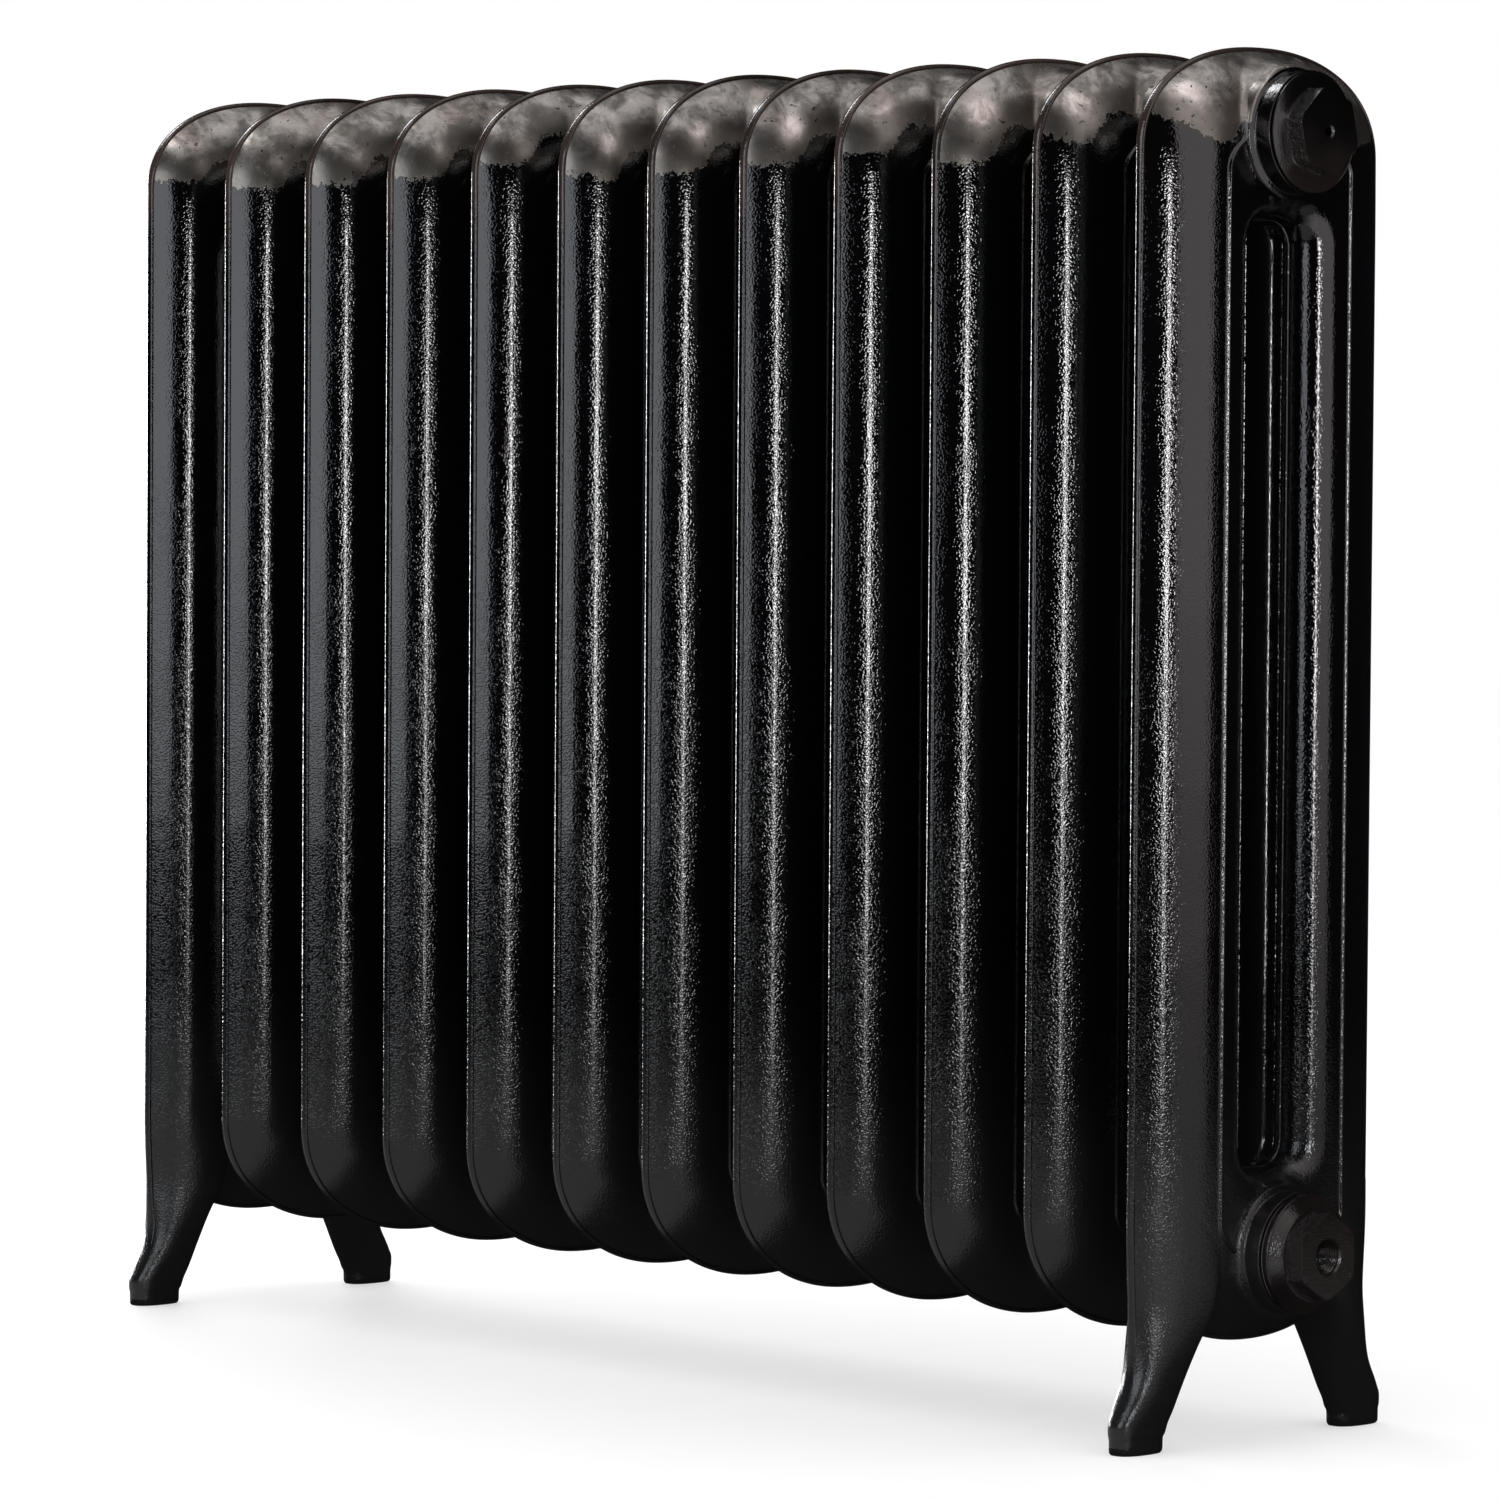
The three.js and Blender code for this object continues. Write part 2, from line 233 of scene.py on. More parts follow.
def smooth_step(low, high, x):
    """0 below low, 1 above high, with a smooth S between."""
    u = np.clip((x - low) / (high - low), 0, 1)
    return u * u * (3 - 2 * u)


def rounded(profile, radius):
    """The profile with each inner corner bent as a quadratic arc of 4 chords.

    Each arc is cut back by the radius, or by 0.45 of the shorter side beside it where that is less."""
    profile = np.asarray(profile, float)
    corner = profile[1:-1]
    back, on = profile[:-2] - corner, profile[2:] - corner
    back_length = np.linalg.norm(back, axis=1, keepdims=True)
    on_length = np.linalg.norm(on, axis=1, keepdims=True)
    cut = np.minimum(radius, 0.45 * np.minimum(back_length, on_length))
    start, end = corner + back / back_length * cut, corner + on / on_length * cut
    u = np.linspace(0, 1, 5)[:, None, None]
    arcs = start * (1 - u) ** 2 + corner * 2 * u * (1 - u) + end * u * u
    return np.vstack([profile[:1], arcs.transpose(1, 0, 2).reshape(-1, 2), profile[-1:]])


def full_turn(start):
    """The angles of a turned piece's grid lines, evenly round from a start angle."""
    return start + np.linspace(0, 2 * math.pi, TURNS, endpoint=False)


def turned(x, radius, angle):
    """Points about the X axis at each x, radius and angle: (x, radius cos angle, radius sin angle)."""
    return np.stack([x + 0 * angle, radius * np.cos(angle), radius * np.sin(angle)], axis=-1)


def lathe(profile, start=0.0):
    """Turned surface about the X axis: each [radius, x] carried round a full circle from a start angle."""
    return turned(profile[:, 1:2], profile[:, :1], full_turn(start))


def quads(rows, columns, start, wrap_rows):
    """Corner numbers of the faces of a grid that wraps along its columns, and along its rows if asked."""
    number = np.arange(rows * columns).reshape(rows, columns) + start
    if wrap_rows:
        number = np.vstack([number, number[:1]])
    number = np.hstack([number, number[:, :1]])
    return np.stack([number[:-1, :-1], number[1:, :-1], number[1:, 1:], number[:-1, 1:]], -1).reshape(-1, 4)


def outward(points, faces):
    """The faces turned, if needed, so that the volume they close is positive."""
    a, b, c, d = (points[faces[:, k]] for k in range(4))
    volume = np.einsum("ij,ij->i", a, np.cross(b, c)) + np.einsum("ij,ij->i", a, np.cross(c, d))
    return faces if volume.sum() > 0 else faces[:, ::-1]


def make_piece(name, shells, material, sharp=35):
    """One mesh object from closed grids, each (points, wraps both ways, attributes by name).

    Rows that shrink to a point are welded, so that poles are closed. Edges sharper than sharp degrees stay."""
    points, faces = [], []
    attributes = {}
    total = 0
    for grid, wraps, values in shells:
        rows, columns = grid.shape[:2]
        flat = grid.reshape(-1, 3)
        own = outward(flat - flat.mean(0), quads(rows, columns, 0, wraps))
        faces.append(own + total)
        points.append(flat)
        for key, value in values.items():
            attributes.setdefault(key, []).append(np.broadcast_to(value, grid.shape[:2]).ravel())
        total += rows * columns
    points, faces = np.concatenate(points), np.concatenate(faces)
    mesh = bpy.data.meshes.new(name)
    mesh.vertices.add(len(points))
    mesh.vertices.foreach_set("co", points.astype(np.float32).ravel())
    mesh.loops.add(faces.size)
    mesh.loops.foreach_set("vertex_index", faces.astype(np.int32).ravel())
    mesh.polygons.add(len(faces))
    mesh.polygons.foreach_set("loop_start", np.arange(0, faces.size, 4, dtype=np.int32))
    for key, value in attributes.items():
        layer = mesh.attributes.new(key, "FLOAT", "POINT")
        layer.data.foreach_set("value", np.concatenate(value).astype(np.float32))
    mesh.update(calc_edges=True)
    work = bmesh.new()
    work.from_mesh(mesh)
    bmesh.ops.remove_doubles(work, verts=work.verts, dist=WELD)
    work.to_mesh(mesh)
    work.free()
    mesh.materials.append(material)
    mesh.shade_smooth()
    mesh.set_sharp_from_angle(angle=math.radians(sharp))
    piece = bpy.data.objects.new(name, mesh)
    bpy.context.scene.collection.objects.link(piece)
    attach(piece, "root")
    return piece


# ---------------------------------------------------------------- section casting

def cap_curve(half_width, spring, rise, power, start):
    """A side from start up to the springing, the superellipse arc, and the other side back down."""
    arc = power_arc(np.linspace(0, math.pi, 600), half_width, spring, rise, power)
    return evenly(np.vstack([[half_width, start], arc, [-half_width, start]]), ARC_LINES)


def window_cap(top, start):
    """The window's end: two quarter-circle corners joined by a straight edge, from start on both sides."""
    inward = math.copysign(WINDOW_CORNER, top - start)
    turn = np.linspace(0, math.pi / 2, 60)
    flat = WINDOW_HALF_WIDTH - WINDOW_CORNER
    corner = np.column_stack([flat + WINDOW_CORNER * np.cos(turn), top - inward + inward * np.sin(turn)])
    other = corner[::-1] * (-1, 1)
    return evenly(np.vstack([corner, other]), ARC_LINES)


def loop_of(top, bottom):
    """One closed loop: the top cap, the left side, the bottom cap and the right side."""
    left = np.linspace(top[-1], bottom[0], SIDE_LINES + 2)[1:-1]
    right = np.linspace(bottom[-1], top[0], SIDE_LINES + 2)[1:-1]
    return np.vstack([top, left, bottom, right])


def section_loops(shape):
    """The outline, the ridge and the window of a section as matching loops of (y, z)."""
    high = WINDOW_TOP - WINDOW_CORNER
    low = WINDOW_BOTTOM + WINDOW_CORNER
    belly_spring = BELLY_Z + shape.belly_rise
    outline = loop_of(
        cap_curve(HALF_DEPTH, TOP_Z - shape.crown_rise, shape.crown_rise, 2.2, high),
        cap_curve(-HALF_DEPTH, belly_spring, -shape.belly_rise, 2.12, low),
    )
    ridge = loop_of(
        cap_curve(RIDGE_Y, RIDGE_TOP_SPRING, RIDGE_TOP_RISE, RIDGE_POWER, high),
        cap_curve(-RIDGE_Y, belly_spring, -RIDGE_BOTTOM_DROP, RIDGE_POWER, low),
    )
    window = loop_of(window_cap(WINDOW_TOP, high), window_cap(WINDOW_BOTTOM, low) * (-1, 1))
    return outline, ridge, window


def window_distance(p):
    """Signed distance of (y, z) points outside the window's rounded rectangle."""
    half = np.array([WINDOW_HALF_WIDTH, (WINDOW_TOP - WINDOW_BOTTOM) / 2]) - WINDOW_CORNER
    q = np.abs(p - (0, (WINDOW_TOP + WINDOW_BOTTOM) / 2)) - half
    outside = np.linalg.norm(np.maximum(q, 0), axis=-1)
    return outside + np.minimum(q.max(-1), 0) - WINDOW_CORNER


def outer_flank(distance, width, rise):
    """Fall of a circular arc at a distance from its level top; the whole arc is width wide and rise high."""
    radius = (width ** 2 + rise ** 2) / (2 * rise)
    return radius - np.sqrt(radius ** 2 - np.minimum(distance, width) ** 2)


def inner_flank(share):
    """Quarter ellipse: 0 with a steep start at share 0, rising to 1, level, at share 1 and beyond."""
    return np.sqrt(1 - (1 - np.clip(share, 0, 1)) ** 2)


def casting_surface(shape):
    """The two-column body as a closed grid, and marks that are 1 on its rim.

    Lines run round the section; across each line the half thickness goes from the proud rim over the outer
    arc of a circle to the beaded ridge, down the inner flank to the window's fin, and back on the far side.
    A skirt, the smooth maximum with a cone, leads up to each hub."""
    outline, ridge, window = section_loops(shape)
    tangent = np.roll(outline, -1, axis=0) - np.roll(outline, 1, axis=0)
    normal = np.column_stack([-tangent[:, 1], tangent[:, 0]])
    normal /= np.linalg.norm(normal, axis=1, keepdims=True)
    normal *= np.sign(np.einsum("ij,ij->i", ridge - outline, normal))[:, None]
    span = len(outline)
    foot = outline + normal * (shape.rim_proud + 0.3 * MM)
    width = np.linalg.norm(ridge - foot, axis=1, keepdims=True)
    inner = np.linalg.norm(ridge - window, axis=1, keepdims=True)
    lines = []  # (positions, heights, 1 on the rim)
    for share, inset in (*RIM_CURVE, (0.85, 2.0)):
        place = outline + normal * (inset * shape.rim_proud / 2)
        lines.append((place, np.full(span, shape.rim * share), 1.0))
    rim_lines = len(lines)
    for q in list(np.linspace(1, 0.13, 17)) + [d / width for d in BEAD_STEPS]:
        q = q * np.ones((span, 1))
        away = q[:, 0] * width[:, 0]
        height = shape.ridge - outer_flank(away, width[:, 0], shape.ridge - shape.rim)
        bead = shape.bead * np.exp(-(away / BEAD_WIDTH) ** 2)
        lines.append((ridge + (foot - ridge) * q, height + bead, 0.0))
    near = [1 - d / inner for d in BEAD_STEPS[-2::-1]]
    turn = np.linspace(1.42, 0.24, 10)
    far = [g + 0 * inner for g in 0.82 * (1 - np.cos(turn)) / (1 - np.cos(turn[0]))]
    for g in near + far:
        place = window + (ridge - window) * g
        share = inner_flank(window_distance(place) / INNER_FLANK_WIDTH)
        height = shape.fin + (shape.ridge - shape.fin) * share
        bead = shape.bead * np.exp(-((1 - g[:, 0]) * inner[:, 0] / BEAD_WIDTH) ** 2)
        lines.append((place, height + bead, 0.0))
    flank_end = len(lines)
    toward = (ridge - window) / inner
    for inset, drop in ((0.9, 0), (0.3, 0.4), (0, 1.2), (0, shape.fin / MM)):
        lines.append((window + toward * inset * MM, np.full(span, shape.fin - drop * MM), 0.0))
    place = np.stack([p for p, _, _ in lines], axis=1)
    height = np.stack([h for _, h, _ in lines], axis=1)
    rim_mark = np.broadcast_to([m for _, _, m in lines], height.shape)
    for hub in HUB_Z.values():
        reach = np.linalg.norm(place - (0, hub), axis=-1)
        cone = np.minimum(NECK_TOP - (reach - shape.neck) * SKIRT_SLOPE, SKIRT_TOP)
        risen = smooth_max(height, cone, SKIRT_BLEND)
        height[:, rim_lines:flank_end] = risen[:, rim_lines:flank_end]
    front = np.concatenate([height[..., None], place], axis=-1)
    back = front[:, -2:0:-1] * (-1, 1, 1)
    grid = np.concatenate([front, back], axis=1)
    marks = np.concatenate([rim_mark, rim_mark[:, -2:0:-1]], axis=1)
    return grid, marks


def burnish_level(grid, finish, wear):
    """Millimetres above the burnished edge, which slopes with depth and climbs towards the hub."""
    y, z = grid[..., 1], grid[..., 2]
    offset, slope, start = wear
    climb = 18 * MM * smooth_step(start, start - 18 * MM, np.abs(y))
    return (z - finish.burnish - climb - offset - slope * np.abs(y)) / MM


def hub_profile(shape):
    """Half profile [radius, x] of a hub: tapered neck, two shoulder steps, the machined ring and the bore."""
    neck, ring = shape.neck, shape.boss
    return rounded([
        (0, 0), (neck + 7.4 * MM, 0), (neck, NECK_TOP), (neck - 1.8 * MM, NECK_TOP + 1.2 * MM),
        (ring + 0.4 * MM, NECK_TOP + 1.7 * MM), (ring, NECK_TOP + 2.4 * MM),
        (ring, BOSS_FACE - 0.2 * MM), (ring - 0.7 * MM, BOSS_FACE),
        (BORE_RADIUS, BOSS_FACE), (BORE_RADIUS, BORE_DEPTH), (0, BORE_DEPTH),
    ], 0.7 * MM)


def hub_shells(shape, finish, wear):
    """The necks and rings of both hubs on both faces, as closed turned shells."""
    shells = []
    profile = hub_profile(shape)
    for z in HUB_Z.values():
        for side in (1, -1):
            grid = lathe(profile) * (side, 1, 1) + (0, 0, z)
            level = burnish_level(grid, finish, wear)
            ring = np.abs(grid[..., 0]) > NECK_TOP + 0.9 * MM
            shells.append((grid, False, {"burnish": np.where(ring, FULLY_PAINTED, level), "rubbed": 0.0}))
    return shells


# Rings of a leg from the floor up: height, outer and inner edge from the row's middle plane, half thickness,
# where along Y it is thickest.
LEG_RINGS = np.array([
    (0.0, 102.2, 70.8, 8.6, 86.5), (1.2, 103.2, 69.8, 9.4, 86.5), (8.6, 103.4, 69.2, 9.6, 86.3),
    (9.8, 103.8, 68.2, 9.9, 86), (15, 104, 66, 10.2, 85), (22, 101, 62.5, 11.2, 81), (37, 92.8, 57, 13.6, 72),
    (55, 90.0, 51.5, 17.5, 62), (74, 89.9, 44.5, 21, 52), (104, 91.1, 40, 23.5, 48),
    (122, 91.5, 42, 23.8, 48), (136, 91.4, 44, 23.8, 48),
]) * MM
LEG_RIM = np.array([(1, 2.0), *RIM_CURVE[::-1]])
LEG_STEPS = 24  # grid lines from a leg's thickest line to its rim
LEG_POWER = 2.5


def leg_shell(side, shape):
    """One leg as a loft of rings, closed at both ends.

    A ring runs from its inner edge as a quarter superellipse out to the thickest line, then to the outer edge
    along a mix of the columns' arc of a circle and a superellipse, and ends in the rim."""
    foot, shank = np.linspace(1.2, 24, 24)[1:], np.linspace(24, 136, 66)[1:]
    z = np.concatenate([np.linspace(0, 1.2, 4), foot, shank]) * MM
    curves = (hermite(LEG_RINGS[:, 0], LEG_RINGS[:, k], z)[:, None] for k in (1, 2, 3, 4))
    outer, inner, half, thickest = curves
    column = smooth_step(24 * MM, 80 * MM, z)[:, None]
    turn = np.linspace(0, math.pi / 2, 20)[:-1]
    x_in = half * np.sin(turn) ** (2 / LEG_POWER)
    y_in = thickest - (thickest - inner) * np.cos(turn) ** (2 / LEG_POWER)
    t = np.concatenate([np.sin(np.linspace(0, 1.32, LEG_STEPS)), np.linspace(0.975, 1, len(LEG_RIM))])
    reach = np.concatenate([t[:LEG_STEPS] / t[LEG_STEPS], np.ones(len(LEG_RIM))])
    rim = np.concatenate([np.ones(LEG_STEPS), LEG_RIM[:, 0]])
    proud = np.concatenate([np.zeros(LEG_STEPS), 2.0 - LEG_RIM[:, 1]]) * shape.rim_proud / 2
    width = outer - thickest
    rounding = half * (1 - t ** LEG_POWER) ** (1 / LEG_POWER)
    arc = np.maximum(half - outer_flank(width * reach, width, half - shape.rim), shape.rim) * rim
    x_out = rounding + (arc - rounding) * column
    y_out = thickest + width * (t + (reach - t) * column) + proud * column
    x, y = np.hstack([x_in, x_out]), np.hstack([y_in, y_out])
    x, y = np.hstack([x, -x[:, -2:0:-1]]), np.hstack([y, y[:, -2:0:-1]])
    grid = np.stack([x, side * y, z[:, None] + 0 * x], axis=-1)
    ends = [np.broadcast_to(grid[k].mean(0), (1, *grid[0].shape)) for k in (0, -1)]
    grid = np.concatenate([ends[0], grid, ends[1]])
    return grid, False, {"burnish": FULLY_PAINTED, "rubbed": 0.0}


class RADIATOR_OT_sections(bpy.types.Operator):
    """Build the twelve section castings"""
    bl_idname = "radiator.sections"
    bl_label = "Sections"

    def execute(self, context):
        shape, finish = context.scene.radiator_shape, context.scene.radiator_finish
        body, rim = casting_surface(shape)
        iron = painted_iron(finish)
        chance = np.random.default_rng(12)
        for name, x in zip(SECTIONS, SECTION_X):
            wear = (chance.uniform(*WEAR_OFFSET) * MM, chance.uniform(*WEAR_SLOPE), WEAR_START)
            if name == SECTIONS[-1]:
                wear = LAST_WEAR
            level = burnish_level(body, finish, wear)
            rubbed = rim * smooth_step(-60, 5, level)
            level = np.where(rim > 0.5, FULLY_PAINTED, level)
            shells = [(body, True, {"burnish": level, "rubbed": rubbed})]
            shells += hub_shells(shape, finish, wear)
            if name in END_SECTIONS:
                shells += [leg_shell(side, shape) for side in (-1, 1)]
            placed = [(grid + (x, 0, 0), wraps, values) for grid, wraps, values in shells]
            piece = make_piece(name + "_casting", placed, iron)
            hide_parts(name)
        return {"FINISHED"}


# ---------------------------------------------------------------- joints

class RADIATOR_OT_joints(bpy.types.Operator):
    """Finish the nipples and put the thin joint rings between the sections"""
    bl_idname = "radiator.joints"
    bl_label = "Nipples and joint rings"

    def execute(self, context):
        machined = bare_iron()
        fibre = fibre_board()
        for name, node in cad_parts.items():
            if "nipple" in name:
                node.data.materials.clear()
                node.data.materials.append(machined)
        outer = context.scene.radiator_shape.boss - 0.4 * MM
        profile = np.array([(BORE_RADIUS, -0.5), (outer, -0.5), (outer, 0.5), (BORE_RADIUS, 0.5)])
        for left, right in zip(SECTIONS, SECTIONS[1:]):
            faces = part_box(left)[1].x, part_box(right)[0].x
            for place, z in HUB_Z.items():
                ring = profile * (1, faces[1] - faces[0]) + (0, (faces[0] + faces[1]) / 2)
                name = f"{place}_joint_ring_{left[-2:]}_{right[-2:]}"
                grid = lathe(ring) + (0, 0, z)
                make_piece(name, [(grid, True, {})], fibre)
        return {"FINISHED"}


# ---------------------------------------------------------------- end fittings

def hexagon_radius(angle, across, twist):
    """Radius at an angle of a hexagon of circumradius across, one corner at twist, corners eased."""
    turned = np.mod(angle - twist, math.pi / 3) - math.pi / 6
    sharp = across * math.cos(math.pi / 6) / np.cos(turned)
    return np.minimum(sharp, across * 0.985)


def fitting_grid(profile, first_hex, twist):
    """A turned profile whose rows from first_hex on follow a hexagon where that is smaller."""
    angle = full_turn(twist)
    radius = profile[:, :1] + 0 * angle
    radius[first_hex:] = np.minimum(radius[first_hex:], hexagon_radius(angle, HEX_RADIUS, twist))
    return turned(profile[:, 1:2], radius, angle)


def thread_wall(radius, face, pitch, start):
    """The wall rows of a tapped hole: radius plus a triangle wave along x that advances one pitch a turn."""
    angle = full_turn(start)
    x = np.linspace(face, face - THREAD_DEPTH, int(THREAD_DEPTH / pitch * 6))[:, None]
    phase = np.mod((x - face) / pitch - angle / (2 * math.pi), 1)
    ease = smooth_step(0, 1.2 * pitch, face - x)
    return turned(x, radius + 0.45 * pitch * np.abs(2 * phase - 1) * ease, angle)


def end_fitting(node, gasket, hex_from, shoulder, hole, pitch, twist):
    """A plug or bush as one closed shell: flange, shoulder, hexagon, end face and, if hole is set, a hole.

    A pitch makes the hole a tapping; without one its wall is plain. The hexagon's grain is 1."""
    low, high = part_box(node)
    side = 1 if high.x > 0 else -1
    seat_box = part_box(gasket)
    seat = max(abs(seat_box[0].x), abs(seat_box[1].x)) - END_X + 0.1 * MM
    face = max(abs(low.x), abs(high.x)) - END_X
    flange = (high.z - low.z) / 2
    corner = HEX_RADIUS * 1.02
    if shoulder is None:
        blend = [(flange, hex_from - 1.9 * MM)]
    else:
        blend = [(flange - 1.2 * MM, hex_from - 4.5 * MM), (shoulder + 1.5 * MM, hex_from - 1.0 * MM),
                 (shoulder, hex_from)]
    outline = [(0, seat), (flange - 1.0 * MM, seat), (flange, seat + 0.9 * MM),
               (flange, blend[0][1] - 0.5 * MM)]
    outline = rounded(outline + blend + [(corner, hex_from + 0.05 * MM)], 0.5 * MM)
    hexagon = np.array([
        (corner, hex_from + 0.4 * MM), (corner, (hex_from + face) / 2), (corner, face - 1.5 * MM),
        (corner - 0.3 * MM, face - 0.8 * MM), (corner - 0.8 * MM, face - 0.3 * MM), (corner - 1.6 * MM, face),
    ])
    outline = np.vstack([outline, hexagon])
    first = len(outline) - len(hexagon)
    grid = fitting_grid(outline, first, twist)
    grain = np.zeros((len(grid), TURNS))
    grain[first:len(grid) - 1] = 1.0
    if hole:
        lip = np.array([(HEX_RADIUS * 0.8, face), (hole + 1.1 * MM, face), (hole, face - 0.9 * MM)])
        if pitch:
            wall = thread_wall(hole, face - 0.9 * MM, pitch, twist)
        else:
            wall = lathe(np.array([(hole, face - 3 * MM), (hole, face - 9 * MM)]), twist)
        grid = np.concatenate([grid, lathe(lip, twist), wall])
    end = np.zeros((1, TURNS, 3)) + (grid[-1, 0, 0], 0, 0)
    grid = np.concatenate([grid, end])
    grain = np.vstack([grain, np.zeros((len(grid) - len(grain), TURNS))])
    grid = grid * (side, 1, 1) + (side * END_X, 0, (low.z + high.z) / 2)
    return grid, False, {"grain": grain}


# Fittings: where the hexagon begins, shoulder radius, hole radius, thread pitch, turn of the hexagon.
PLUG_TWIST = math.radians(103)
BUSH = (48.6 * MM, 25 * MM, 9.3 * MM, 1.814 * MM, math.pi / 6)
FITTINGS = {
    "left_top_plug": (41.9 * MM, None, 0, 0, PLUG_TWIST),
    "right_top_vent_plug": (41.9 * MM, None, 2.6 * MM, 0, PLUG_TWIST),
    "left_bottom_bush": BUSH,
    "right_bottom_bush": BUSH,
}


class RADIATOR_OT_fittings(bpy.types.Operator):
    """Build the plugs and bushes on the four end hubs"""
    bl_idname = "radiator.fittings"
    bl_label = "End fittings"

    def execute(self, context):
        paint = painted_fitting(context.scene.radiator_finish)
        for node, sizes in FITTINGS.items():
            gasket = "_".join(node.split("_")[:2]) + "_gasket"
            shell = end_fitting(node, gasket, *sizes)
            piece = make_piece(node + "_body", [shell], paint, sharp=28)
            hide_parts(node)
        return {"FINISHED"}


class RADIATOR_OT_gaskets(bpy.types.Operator):
    """Build the fibre gaskets under the end fittings"""
    bl_idname = "radiator.gaskets"
    bl_label = "Gaskets"

    def execute(self, context):
        fibre = fibre_board()
        for node in sorted(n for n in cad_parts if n.endswith("_gasket")):
            low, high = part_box(node)
            radius = (high.z - low.z) / 2
            bulge = 0.35 * MM
            profile = rounded([
                (BORE_RADIUS, low.x), (radius - bulge, low.x), (radius, (low.x + high.x) / 2),
                (radius - bulge, high.x), (BORE_RADIUS, high.x)], 0.2 * MM)
            grid = lathe(profile) + (0, 0, (low.z + high.z) / 2)
            piece = make_piece(node + "_ring", [(grid, True, {})], fibre)
            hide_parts(node)
        return {"FINISHED"}


# ---------------------------------------------------------------- materials

def new_group(name, inputs, outputs):
    """An empty shader node group with float or colour sockets: each is (name, kind, default)."""
    tree = bpy.data.node_groups.new(name, "ShaderNodeTree")
    for label, kind, default in inputs:
        socket = tree.interface.new_socket(name=label, in_out="INPUT", socket_type=kind)
        socket.default_value = default
    for label, kind in outputs:
        tree.interface.new_socket(name=label, in_out="OUTPUT", socket_type=kind)
    return tree, tree.nodes.new("NodeGroupInput"), tree.nodes.new("NodeGroupOutput")


class Wiring:
    """Short forms for adding and linking nodes in one tree."""

    def __init__(self, tree):
        self.tree = tree

    def link(self, source, target):
        """Link a socket, or set a plain value."""
        if isinstance(source, bpy.types.NodeSocket):
            self.tree.links.new(source, target)
        else:
            target.default_value = source

    def math(self, operation, a, b=0.0):
        """One math node on two numbers or sockets."""
        node = self.tree.nodes.new("ShaderNodeMath")
        node.operation = operation
        self.link(a, node.inputs[0])
        self.link(b, node.inputs[1])
        return node.outputs[0]

    def position(self, stretch=None):
        """Object coordinates, scaled along each axis if a stretch is given."""
        node = self.tree.nodes.new("ShaderNodeTexCoord")
        if stretch is None:
            return node.outputs["Object"]
        mapping = self.tree.nodes.new("ShaderNodeMapping")
        mapping.inputs["Scale"].default_value = stretch
        self.link(node.outputs["Object"], mapping.inputs["Vector"])
        return mapping.outputs["Vector"]

    def noise(self, vector, scale, detail=2.0, roughness=0.5, distortion=0.0):
        """Noise from 0 to 1, with scale in cells a metre."""
        node = self.tree.nodes.new("ShaderNodeTexNoise")
        self.link(vector, node.inputs["Vector"])
        self.link(scale, node.inputs["Scale"])
        node.inputs["Detail"].default_value = detail
        node.inputs["Roughness"].default_value = roughness
        node.inputs["Distortion"].default_value = distortion
        return node.outputs["Fac"]

    def ramp(self, value, low, high, to_low=0.0, to_high=1.0):
        """Value mapped smoothly from low..high to to_low..to_high."""
        node = self.tree.nodes.new("ShaderNodeMapRange")
        node.interpolation_type = "SMOOTHSTEP"
        self.link(value, node.inputs["Value"])
        for key, number in (("From Min", low), ("From Max", high), ("To Min", to_low), ("To Max", to_high)):
            self.link(number, node.inputs[key])
        return node.outputs["Result"]

    def attribute(self, name):
        """The value of a mesh attribute."""
        node = self.tree.nodes.new("ShaderNodeAttribute")
        node.attribute_name = name
        return node.outputs["Fac"]

    def mix(self, factor, a, b):
        """Two colours mixed by a factor."""
        node = self.tree.nodes.new("ShaderNodeMix")
        node.data_type = "RGBA"
        self.link(factor, node.inputs["Factor"])
        for socket, value in ((node.inputs[6], a), (node.inputs[7], b)):
            self.link(value if isinstance(value, bpy.types.NodeSocket) else (*value, 1.0), socket)
        return node.outputs[2]

    def blend(self, factor, a, b):
        """Two numbers mixed by a factor."""
        node = self.tree.nodes.new("ShaderNodeMix")
        for key, value in (("Factor", factor), ("A", a), ("B", b)):
            self.link(value, node.inputs[key])
        return node.outputs["Result"]

    def group(self, tree, **values):
        """Place a node group with its own input values; underscores stand for spaces."""
        node = self.tree.nodes.new("ShaderNodeGroup")
        node.node_tree = tree
        for key, value in values.items():
            self.link(value, node.inputs[key.replace("_", " ")])
        return node.outputs


